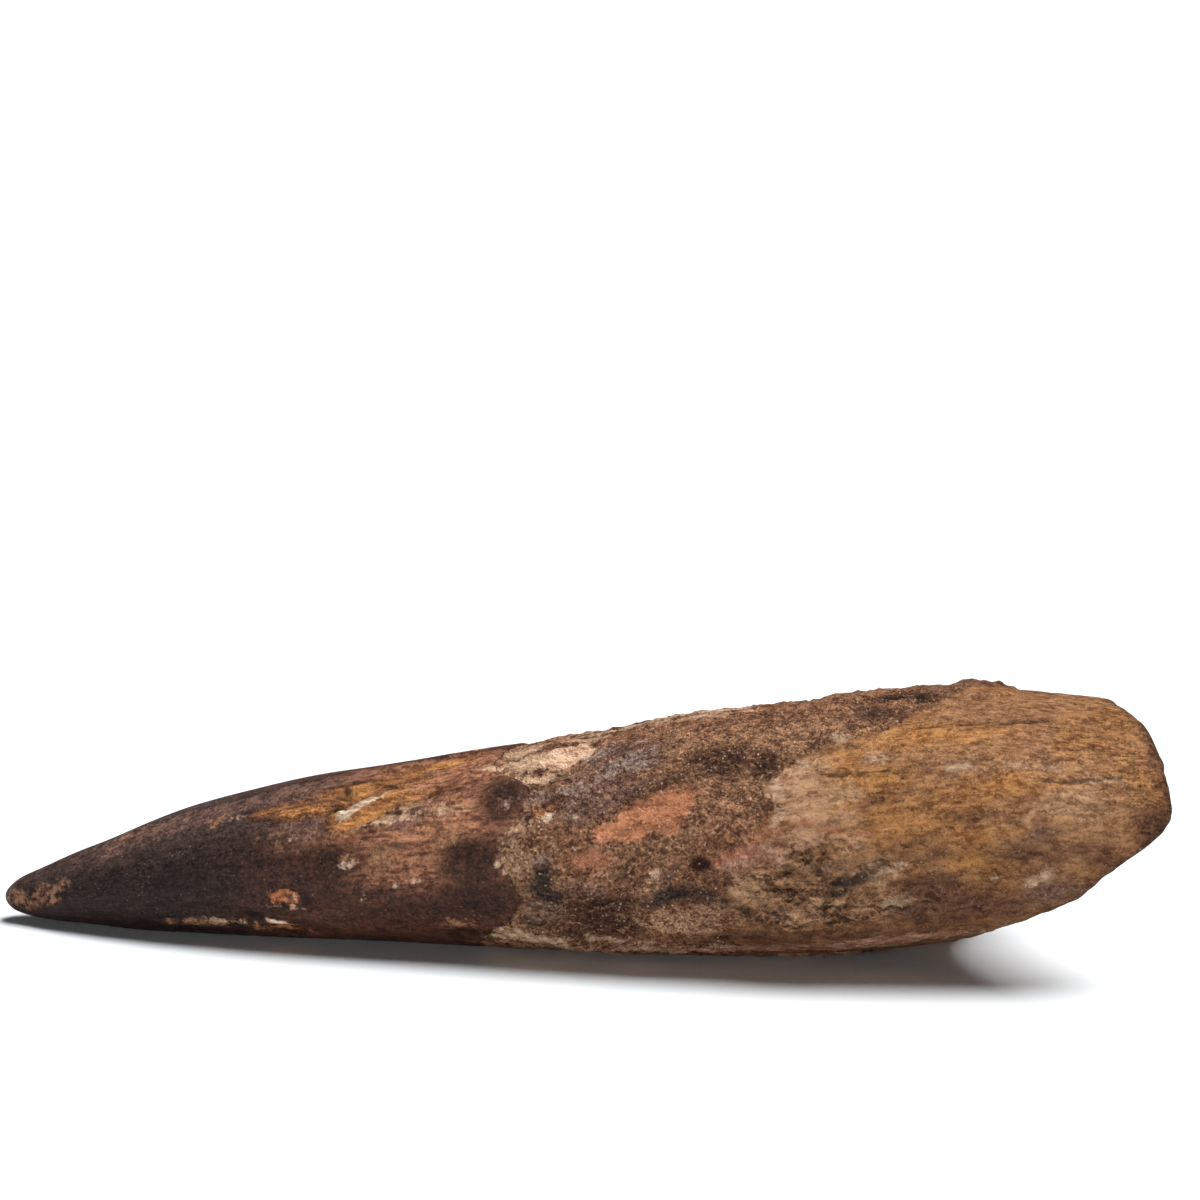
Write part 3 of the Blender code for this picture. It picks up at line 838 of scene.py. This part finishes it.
def add_bake_map(mesh, row, skin):
    """Lays the side out as one strip and the broken end beside it as a disc, with no overlap."""
    vertex = np.empty(len(mesh.loops), int)
    mesh.loops.foreach_get("vertex_index", vertex)
    start = np.empty(len(mesh.polygons), int)
    mesh.polygons.foreach_get("loop_start", start)
    corners = np.diff(np.append(start, len(vertex)))
    at_pole = (row[vertex] == 0) | (row[vertex] == ROWS)
    turn = skin.angle[vertex]
    highest = np.maximum.reduceat(np.where(at_pole, 0, turn), start)
    lowest = np.minimum.reduceat(np.where(at_pole, 360, turn), start)
    crosses_seam = np.repeat(highest - lowest > 180, corners)
    turn = np.where(crosses_seam & (turn < 180), turn + 360, turn)
    others = np.add.reduceat(np.where(at_pole, 0, turn), start) / np.add.reduceat(~at_pole, start)
    turn = np.where(at_pole, np.repeat(others, corners), turn)
    broken = np.repeat(np.minimum.reduceat(row[vertex], start) >= SIDE_ROWS + RIM_ROWS, corners)
    strip_x = STRIP_CORNER + STRIP_LENGTH * skin.eased[vertex] + STRIP_RIM * skin.over_rim[vertex]
    strip_y = STRIP_CORNER + STRIP_WIDTH * turn / STRIP_DEGREES
    reach = DISC_RADIUS * (1 - skin.inward[vertex])
    disc_x = DISC_MIDDLE[0] + reach * np.cos(np.radians(turn))
    disc_y = DISC_MIDDLE[1] + reach * np.sin(np.radians(turn))
    places = np.stack([np.where(broken, disc_x, strip_x), np.where(broken, disc_y, strip_y)], axis=1)
    mesh.uv_layers.new(name="OFBake").uv.foreach_set("vector", places.ravel())


def linear(colour):
    """A screen colour of 0 to 255 as the light that it stands for."""
    shares = [part / 255 for part in colour]
    return [(s / 12.92 if s <= 0.04045 else ((s + 0.055) / 1.055) ** 2.4) for s in shares] + [1.0]


class Shading:
    """Adds nodes to a material. What they take is a number, a colour or another node's output."""

    def __init__(self, material):
        material.use_nodes = True
        self.tree = material.node_tree
        self.shader = self.tree.nodes["Principled BSDF"]

    def feed(self, socket, given):
        """Links an output to the socket, or sets the socket."""
        if isinstance(given, bpy.types.NodeSocket):
            self.tree.links.new(given, socket)
        else:
            socket.default_value = given

    def node(self, kind, inputs, **settings):
        """A new node with these settings and inputs."""
        made = self.tree.nodes.new(kind)
        for name, setting in settings.items():
            setattr(made, name, setting)
        for name, given in inputs.items():
            self.feed(made.inputs[name], given)
        return made

    def calc(self, operation, *given, clamp=False):
        """One step of arithmetic."""
        inputs = dict(enumerate(given))
        return self.node("ShaderNodeMath", inputs, operation=operation, use_clamp=clamp).outputs[0]

    def scaled(self, value, factor, added=0.0):
        """The value times a factor, with an amount added."""
        return self.calc("MULTIPLY_ADD", value, factor, added)

    def rise(self, value, low, high):
        """Rises smoothly from 0 to 1 as the value goes from low to high."""
        inputs = {"Value": value, "From Min": low, "From Max": high}
        return self.node("ShaderNodeMapRange", inputs, interpolation_type="SMOOTHSTEP").outputs["Result"]

    def blend(self, share, under, over, how="MIX"):
        """Two colours mixed by a share."""
        inputs = {0: share, 6: under, 7: over}
        made = self.node("ShaderNodeMix", inputs, data_type="RGBA", blend_type=how)
        return made.outputs[2]

    def between(self, share, dark, light):
        """A colour between two screen colours."""
        return self.blend(share, linear(dark), linear(light))

    def number(self, name):
        """A number that the mesh keeps for each point."""
        return self.node("ShaderNodeAttribute", {}, attribute_name=name).outputs["Fac"]

    def stretched(self, vector, factors):
        """A vector with its parts multiplied."""
        made = self.node("ShaderNodeVectorMath", {0: vector, 1: factors}, operation="MULTIPLY")
        return made.outputs[0]

    def noise(self, vector, size, detail, roughness):
        """Soft noise of 0 to 1, with a size in millimetres."""
        inputs = {"Vector": vector, "Scale": 1 / size, "Detail": detail, "Roughness": roughness}
        return self.node("ShaderNodeTexNoise", inputs).outputs["Fac"]

    def red(self, colour):
        """A colour's red part."""
        return self.node("ShaderNodeSeparateColor", {"Color": colour}).outputs[0]


class ToothMaterial(Shading):
    """Fossil enamel, sandy crust, stained root and rough break, laid over each other zone by zone, with
    some light and shade painted into the colour.
    """

    def __init__(self):
        self.material = bpy.data.materials.new("fossil")
        super().__init__(self.material)
        self.textures()
        self.zones()
        self.stains = {name: self.stain_share(name, *look) for name, look in STAIN_LOOKS.items()}
        self.colour()
        self.surface()

    def textures(self):
        """The noises that everything else is mixed from: even ones, and ones drawn out lengthwise."""
        place = self.node("ShaderNodeTexCoord", {}).outputs["Object"]
        place = self.stretched(place, (1 / MM, 1 / MM, 1 / MM))
        self.grit = self.noise(place, *NOISES["grit"])
        self.crumbs = self.noise(place, *NOISES["crumbs"])
        self.mottle = self.noise(place, *NOISES["mottle"])
        self.broad = self.noise(place, *NOISES["broad"])
        chunk_place = self.stretched(place, CHUNK_STRETCH)
        self.chunks = self.noise(chunk_place, *NOISES["chunks"])
        # Where highlights and shade are painted onto the lumps of the chunks and the crumbs
        self.chunk_light_and_shade = self.tops(self.chunks, "chunks", chunk_place, CHUNK_REACH)
        self.crumb_light_and_shade = self.tops(self.crumbs, "crumbs", place, CRUMB_REACH)
        self.sand_grains(place)
        rod = self.node("ShaderNodeAttribute", {}, attribute_name="rod").outputs["Vector"]
        rod = self.shifted(rod, ROD_WAVER)
        self.fibres = self.noise(self.stretched(rod, LONG_STRETCH), *NOISES["fibres"])
        self.streaks = self.noise(self.stretched(rod, LONGER_STRETCH), *NOISES["streaks"])
        grainy = self.mixture(self.grit, 0.38, self.crumbs, 0.28, self.mottle, 0.24, self.grain_shade, 0.1)
        fibrous = self.mixture(self.fibres, 0.5, self.streaks, 0.16, self.crumbs, 0.14, self.grit, 0.2)
        woody = self.mixture(self.fibres, 0.55, self.streaks, 0.35, self.grit, 0.1)
        glazed = self.mixture(self.grit, 0.4, self.fibres, 0.3, self.crumbs, 0.16, self.mottle, 0.14)
        chunky = self.mixture(self.chunks, 0.6, self.crumbs, 0.22, self.grit, 0.18)
        silky = self.mixture(self.streaks, 0.42, self.fibres, 0.38, self.grit, 0.2)
        self.mottles = {
            "grain": self.rise(grainy, 0.4, 0.68),
            "glaze": self.rise(glazed, 0.4, 0.62),
            "crumbs": self.rise(self.mixture(self.crumbs, 0.6, self.grit, 0.4), 0.38, 0.62),
            "streaks": self.rise(fibrous, 0.4, 0.62),
            "chunks": self.rise(chunky, 0.4, 0.6),
            "silk": self.rise(silky, 0.38, 0.62),
            "wood": self.rise(woody, 0.38, 0.62),
        }
        uneven = self.mixture(self.mottle, 3.0, self.crumbs, 1.2, self.grit, 0.6)
        self.edges = self.scaled(uneven, 1.0, -2.4)

    def tops(self, noise, name, place, reach):
        """How much more there is of a noise here than just above: high on the tops of its lumps, where
        highlights are painted, and low under them, where shade is painted.
        """
        above = self.node("ShaderNodeVectorMath", {0: place, 1: (0.0, 0.0, reach)}, operation="ADD")
        return self.calc("SUBTRACT", noise, self.noise(above.outputs[0], *NOISES[name]))

    def shifted(self, vector, amount):
        """A vector moved about sideways by the mottle."""
        waver = self.scaled(self.mottle, amount, -amount / 2)
        waver = self.node("ShaderNodeCombineXYZ", {"Y": waver, "Z": waver}).outputs[0]
        return self.node("ShaderNodeVectorMath", {0: vector, 1: waver}, operation="ADD").outputs[0]

    def mixture(self, *given):
        """The sum of values that each come with their share."""
        total = self.scaled(given[0], given[1])
        for value, share in zip(given[2::2], given[3::2]):
            total = self.calc("MULTIPLY_ADD", value, share, total)
        return total

    def sand_grains(self, place):
        """Single grains of sand: how light each one is, the palest and darkest ones, and those that get
        painted glints.
        """
        place = self.shifted(place, SAND_WAVER)
        inputs = {"Vector": place, "Scale": 1 / SAND_SIZE, "Randomness": 1.0}
        cells = self.node("ShaderNodeTexVoronoi", inputs)
        parts = self.node("ShaderNodeSeparateColor", {"Color": cells.outputs["Color"]}).outputs
        self.grain_shade = parts[0]
        self.grain_height = cells.outputs["Distance"]
        inner = self.rise(self.calc("ADD", self.grain_height, self.scaled(self.grit, 0.5, -0.25)), 0.5, 0.3)
        self.pale_grains = self.calc("MULTIPLY", self.rise(parts[1], 0.93, 0.98), inner)
        self.dark_grains = self.calc("MULTIPLY", self.rise(parts[2], 0.92, 0.97), inner)
        self.glints = self.calc("MULTIPLY", self.rise(parts[0], 0.972, 0.985), inner)

    def zones(self):
        """How far each spot belongs to the crust, the root, the rim and the break."""
        self.past_enamel = self.calc("ADD", self.number("past_enamel"), self.scaled(self.edges, 0.3))
        self.past_crust = self.calc("ADD", self.number("past_crust"), self.scaled(self.edges, 1.4))
        to_rim = self.calc("ADD", self.number("before_rim"), self.scaled(self.edges, 1.0))
        self.off_crown = self.rise(self.past_enamel, -0.12, 0.12)
        self.is_root = self.rise(self.past_crust, -0.2, 0.2)
        self.on_crust = self.calc("MULTIPLY", self.off_crown, self.scaled(self.is_root, -0.6, 1.0))
        self.is_rim = self.rise(to_rim, 2.4, 0.0)
        self.is_break = self.rise(self.number("inward"), 0.0, 0.05)

    def zone_look(self, zone):
        """The mottled colour of a zone."""
        dark, light, mottle = ZONE_LOOKS[zone]
        return self.between(self.mottles[mottle], dark, light)

    def shaded(self, share, base, shade):
        """A plain colour laid over the base by a share."""
        return self.blend(share, base, linear(SHADES[shade]))

    def enamel(self):
        """Dark, faintly streaked enamel that is browner towards the root, with a painted grey sheen on the
        top.
        """
        browner = self.calc("ADD", self.number("along"), self.scaled(self.broad, 18.0, -9.0))
        brown = self.zone_look("brown enamel")
        base = self.blend(self.rise(browner, 20.0, 38.0), self.zone_look("enamel"), brown)
        # A painted grey sheen on the top of the crown, fading towards the root
        up = self.calc("ADD", self.number("upward"), self.scaled(self.streaks, 0.8, -0.4))
        painted_sheen = self.calc("MULTIPLY", self.rise(up, 0.2, 0.9), self.rise(browner, 48.0, 22.0))
        base = self.blend(self.scaled(painted_sheen, 0.6), base, self.zone_look("painted sheen on enamel"))
        streaked = self.rise(self.streaks, 0.47, 0.64)
        return self.shaded(self.scaled(streaked, 0.4), base, "enamel streaks")

    def crust(self):
        """Sandy rock: brown with pale and dark grains, tan where it thins out by the enamel, and painted
        shade in the hollows between its lumps.
        """
        warm = self.zone_look("warm crust")
        base = self.blend(self.rise(self.broad, 0.42, 0.62), self.zone_look("crust"), warm)
        band = self.calc("SUBTRACT", self.past_enamel, self.scaled(self.broad, 9.0, -3.5))
        thin = self.zone_look("thin crust")
        base = self.blend(self.scaled(self.rise(band, 2.0, -1.0), 0.6), base, thin)
        # Painted shade in the low parts of the crust's lumps
        lumps = self.calc("ADD", self.number("lumps"), self.scaled(self.grit, 0.6, -0.3))
        return self.shaded(self.scaled(self.rise(lumps, 0.0, -0.5), 0.3), base, "painted shade in crust hollows")

    def root(self):
        """Golden root bone with long dark and pale streaks, and painted shade on its underside."""
        pinkish = self.zone_look("pinkish root")
        base = self.blend(self.rise(self.broad, 0.62, 0.42), self.zone_look("root"), pinkish)
        brown = self.rise(self.calc("ADD", self.broad, self.scaled(self.streaks, 0.7, -0.35)), 0.52, 0.72)
        base = self.shaded(self.scaled(brown, 0.35), base, "root streaks")
        # Painted shade, darker towards the underside
        low = self.rise(self.number("upward"), 0.15, -0.6)
        return self.shaded(self.scaled(low, 0.55), base, "painted shade under the root")

    def stain_share(self, name, dark, light, mottle, softness, raggedness, strength):
        """How much of a stain shows."""
        inside = self.calc("ADD", self.number(name), self.scaled(self.edges, raggedness))
        return self.scaled(self.rise(inside, -softness / 2, softness / 2), strength)

    def colour(self):
        """Lays the zones, stains, painted light and shade, grains and cracks over each other."""
        base = self.blend(self.off_crown, self.enamel(), self.crust())
        base = self.blend(self.is_root, base, self.root())
        for name, (dark, light, mottle, *_) in STAIN_LOOKS.items():
            base = self.blend(self.stains[name], base, self.between(self.mottles[mottle], dark, light))
            if name == "lump":
                # Painted highlights and shade on the crust's crumbs and the rubble's chunks
                base = self.paint_lump_light_and_shade(base, self.crumb_light_and_shade, self.scaled(self.on_crust, 0.26))
                base = self.paint_lump_light_and_shade(base, self.chunk_light_and_shade, self.scaled(self.stains["rubble"], 0.8))
        base = self.blend(self.scaled(self.is_rim, 0.85), base, self.zone_look("rim"))
        base = self.blend(self.is_break, base, self.broken_end())
        clustered = self.rise(self.mottle, 0.4, 0.6)
        clustered = self.calc("MULTIPLY", clustered, self.scaled(self.on_crust, 0.55, 0.2))
        base = self.shaded(self.calc("MULTIPLY", self.pale_grains, clustered), base, "pale grains")
        base = self.shaded(self.scaled(self.dark_grains, 0.12), base, "dark grains")
        # Painted glints: a few pale flecks on the crust that stand in for highlights on glassy grains
        glinting = self.calc("MULTIPLY", self.glints, self.scaled(self.on_crust, 0.36, 0.05))
        base = self.shaded(glinting, base, "painted glints")
        crack = self.calc("ADD", self.number("cracked"), self.scaled(self.edges, 0.12))
        base = self.shaded(self.scaled(self.rise(crack, 0.34, 0.06), 0.66), base, "cracks")
        self.feed(self.shader.inputs["Base Color"], base)

    def paint_lump_light_and_shade(self, base, tops, share):
        """Painted highlights on the tops and painted shade on the undersides of the lumps of one of the
        noises.
        """
        pale = self.calc("MULTIPLY", self.rise(tops, 0.02, 0.17), share)
        base = self.shaded(pale, base, "painted highlights on lumps")
        dark = self.calc("MULTIPLY", self.rise(tops, -0.02, -0.17), share)
        return self.shaded(dark, base, "painted shade under lumps")

    def broken_end(self):
        """Rough broken bone, with a paler ring inside the rim, a darker middle, and painted highlights and
        shade on its lumps.
        """
        ring = self.calc("ADD", self.number("inward"), self.scaled(self.edges, 0.05))
        ring = self.scaled(self.rise(ring, 0.5, 0.24), 0.4)
        base = self.shaded(ring, self.zone_look("break"), "break ring")
        middle = self.calc("ADD", self.number("inward"), self.scaled(self.broad, 0.8, -0.4))
        base = self.shaded(self.scaled(self.rise(middle, 0.4, 0.8), 0.55), base, "break middle")
        return self.paint_lump_light_and_shade(base, self.chunk_light_and_shade, 0.4)

    def surface(self):
        """The gloss and the fine bumps of each zone."""
        self.feed(self.shader.inputs["Specular IOR Level"], SPECULAR)
        enamel_gloss = self.scaled(self.grit, 0.3, 0.36)
        rough = self.blend(self.off_crown, enamel_gloss, self.scaled(self.grit, 0.2, 0.72))
        bare = self.calc("MAXIMUM", self.stains["flake"], self.stains["worn"])
        rough = self.red(self.blend(bare, rough, (BARE_ROUGHNESS, 0.0, 0.0, 1.0)))
        self.feed(self.shader.inputs["Roughness"], rough)
        bumpy = self.mixture(self.grit, 0.6, self.crumbs, 1.3, self.grain_height, -0.4, self.mottle, 0.8)
        height = self.red(self.blend(self.off_crown, self.scaled(self.grit, 0.4), bumpy))
        fibrous = self.mixture(self.fibres, 1.8, self.crumbs, 0.8, self.grit, 0.6)
        ridged = self.calc("MAXIMUM", self.is_root, self.stains["flake"])
        height = self.red(self.blend(self.scaled(ridged, 0.8), height, fibrous))
        lumpy = self.scaled(self.chunks, 4.5, -2.25)
        height = self.calc("ADD", height, self.calc("MULTIPLY", lumpy, self.stains["rubble"]))
        bump = self.node("ShaderNodeBump", {"Strength": 1.0, "Distance": BUMP_HEIGHT, "Height": height})
        self.feed(self.shader.inputs["Normal"], bump.outputs["Normal"])


def build_tooth():
    """A sphere with its poles at the tip and in the broken end, each of its rings moved into place."""
    mesh = bpy.data.meshes.new("fossil_tooth")
    shape = bmesh.new()
    bmesh.ops.create_uvsphere(shape, u_segments=COLUMNS, v_segments=ROWS, radius=1.0)
    shape.to_mesh(mesh)
    shape.free()
    ball = np.empty(len(mesh.vertices) * 3)
    mesh.vertices.foreach_get("co", ball)
    x, y, z = ball.reshape(-1, 3).T
    row = (np.arccos(z.clip(-1, 1)) / math.pi * ROWS).round()
    skin = Skin(row, np.degrees(np.arctan2(y, x)) % 360)
    mesh.vertices.foreach_set("co", skin.points.ravel())
    mesh.shade_smooth()
    keep_skin(mesh, skin)
    add_bake_map(mesh, row, skin)
    tooth = bpy.data.objects.new("fossil_tooth", mesh)
    bpy.context.scene.collection.objects.link(tooth)
    return tooth


def lay_floor():
    """A pale floor that runs out of sight."""
    bpy.ops.mesh.primitive_plane_add(size=2 * FLOOR_HALF)
    floor = bpy.context.object
    floor.name = "floor"
    material = bpy.data.materials.new("floor")
    shading = Shading(material)
    shading.feed(shading.shader.inputs["Base Color"], FLOOR_COLOUR)
    shading.feed(shading.shader.inputs["Roughness"], FLOOR_ROUGHNESS)
    floor.data.materials.append(material)


def add_sun(name, azimuth, elevation, strength, spread):
    """Even light from a direction: azimuth 0 is from the near side, and 90 is from the root's end."""
    light = bpy.data.lights.new(name, "SUN")
    light.energy = strength
    light.angle = math.radians(spread)
    sun = bpy.data.objects.new(name, light)
    around, up = math.radians(azimuth), math.radians(elevation)
    away = (math.sin(around) * math.cos(up), -math.cos(around) * math.cos(up), math.sin(up))
    sun.rotation_euler = Vector(away).to_track_quat("Z", "Y").to_euler()
    bpy.context.scene.collection.objects.link(sun)


def light_studio():
    """A large soft light above the root, a low one in front, and pale surroundings."""
    add_sun("overhead", **OVERHEAD_LIGHT)
    add_sun("front", **FRONT_LIGHT)
    world = bpy.data.worlds.new("studio")
    bpy.context.scene.world = world
    world.use_nodes = True
    background = world.node_tree.nodes["Background"]
    background.inputs["Color"].default_value = (1.0, 1.0, 1.0, 1.0)
    background.inputs["Strength"].default_value = SURROUNDINGS


def place_camera():
    """The camera where the photo was taken from, tilted up so that the tooth lies low in the frame."""
    camera = bpy.data.objects.new("camera", bpy.data.cameras.new("camera"))
    camera.data.lens = CAMERA_LENS
    around, up = math.radians(CAMERA_AZIMUTH), math.radians(CAMERA_ELEVATION)
    back = Vector((math.sin(around) * math.cos(up), -math.cos(around) * math.cos(up), math.sin(up)))
    right = Vector((math.cos(around), math.sin(around), 0))
    above = back.cross(right)
    camera.location = Vector(LOOK_AT) + back * CAMERA_DISTANCE
    look = right * LOOK_ASIDE + above * LOOK_ABOVE - back * CAMERA_DISTANCE
    camera.rotation_mode = "QUATERNION"
    camera.rotation_quaternion = look.to_track_quat("-Z", "Y")
    bpy.context.scene.collection.objects.link(camera)
    bpy.context.scene.camera = camera


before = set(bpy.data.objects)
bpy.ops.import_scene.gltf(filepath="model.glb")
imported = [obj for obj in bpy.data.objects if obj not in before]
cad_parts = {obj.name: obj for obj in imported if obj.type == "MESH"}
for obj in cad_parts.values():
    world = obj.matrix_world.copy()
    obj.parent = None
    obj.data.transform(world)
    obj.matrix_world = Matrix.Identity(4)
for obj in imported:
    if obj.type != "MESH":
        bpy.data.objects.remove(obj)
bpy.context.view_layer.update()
tooth = build_tooth()
material = ToothMaterial()
tooth.data.materials.append(material.material)
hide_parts("tooth")
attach(tooth, "root")
lay_floor()
light_studio()
place_camera()
bpy.context.scene.view_settings.view_transform = "Standard"
